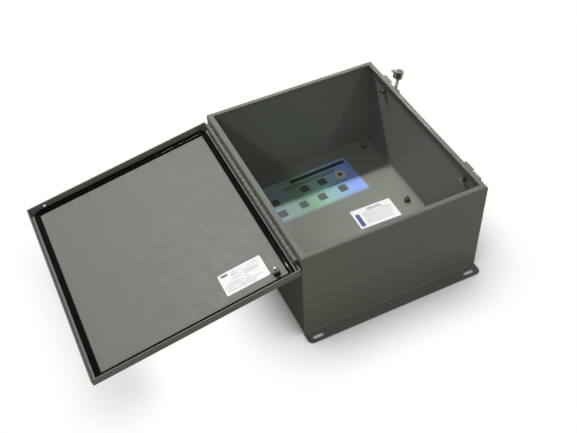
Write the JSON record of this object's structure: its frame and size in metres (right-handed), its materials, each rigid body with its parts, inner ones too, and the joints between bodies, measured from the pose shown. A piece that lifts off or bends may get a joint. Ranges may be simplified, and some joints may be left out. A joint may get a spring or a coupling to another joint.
{
  "type": "wall-mounted electrical enclosure",
  "caption": "Rectangular painted sheet-steel wall enclosure with a gasketed door on a continuous hinge, swing clamps, panel studs and slotted mounting flanges.",
  "frame": {"origin": "centre of the back face, on the plane that lies against the wall", "axes": "+Z out of the wall, +Y up the wall, +X towards the clamp side"},
  "size_m": [0.7652, 0.4536, 0.2151],
  "materials": {
    "paint": "satin grey powder coat",
    "plated_steel": "bright zinc plate",
    "gasket_rubber": "smooth black foam with a skin",
    "label_film": "white label film"
  },
  "bodies": {
    "enclosure": {"body_shell": "paint", "top_end_wall": "paint", "bottom_end_wall": "paint", "panel_studs": "plated_steel", "body_ground_stud": "plated_steel", "body_ground_nut": "plated_steel", "body_hinge_leaf": "paint", "hinge_pin": "plated_steel", "upper_clamp_bracket": "paint", "upper_mount_screw": "plated_steel", "upper_seal_washer": "gasket_rubber", "upper_mount_nut": "plated_steel", "upper_pivot_pin": "plated_steel", "lower_clamp_bracket": "paint", "lower_mount_screw": "plated_steel", "lower_seal_washer": "gasket_rubber", "lower_mount_nut": "plated_steel", "lower_pivot_pin": "plated_steel"},
    "door": {"door_pan": "paint", "door_hinge_leaf": "paint", "door_gasket": "gasket_rubber", "door_ground_stud": "plated_steel", "door_ground_nut": "plated_steel"},
    "upper_clamp": {"upper_swing_bolt": "plated_steel"},
    "upper_hook": {"upper_clamp_hook": "plated_steel", "upper_clamp_nut": "plated_steel"},
    "lower_clamp": {"lower_swing_bolt": "plated_steel"},
    "lower_hook": {"lower_clamp_hook": "plated_steel", "lower_clamp_nut": "plated_steel"}
  },
  "joints": [
    {"name": "door_hinge", "type": "hinge", "parent": "enclosure", "child": "door", "pos_m": [-0.1822, 0, 0.189], "axis": [0, 1, 0], "range_deg": [0, 190.6]},
    {"name": "upper_clamp_swing", "type": "hinge", "parent": "enclosure", "child": "upper_clamp", "pos_m": [0.2012, 0.141, 0.1632], "axis": [0, 1, 0], "range_deg": [-9, 171]},
    {"name": "upper_hook_slide", "type": "slide", "parent": "upper_clamp", "child": "upper_hook", "axis": [0.1564, 0, 0.9877], "range_m": [0, 0.005]},
    {"name": "lower_clamp_swing", "type": "hinge", "parent": "enclosure", "child": "lower_clamp", "pos_m": [0.2012, -0.141, 0.1632], "axis": [0, 1, 0], "range_deg": [-180, 0]},
    {"name": "lower_hook_slide", "type": "slide", "parent": "lower_clamp", "child": "lower_hook", "axis": [0, 0, -1], "range_m": [0, 0.005]}
  ]
}
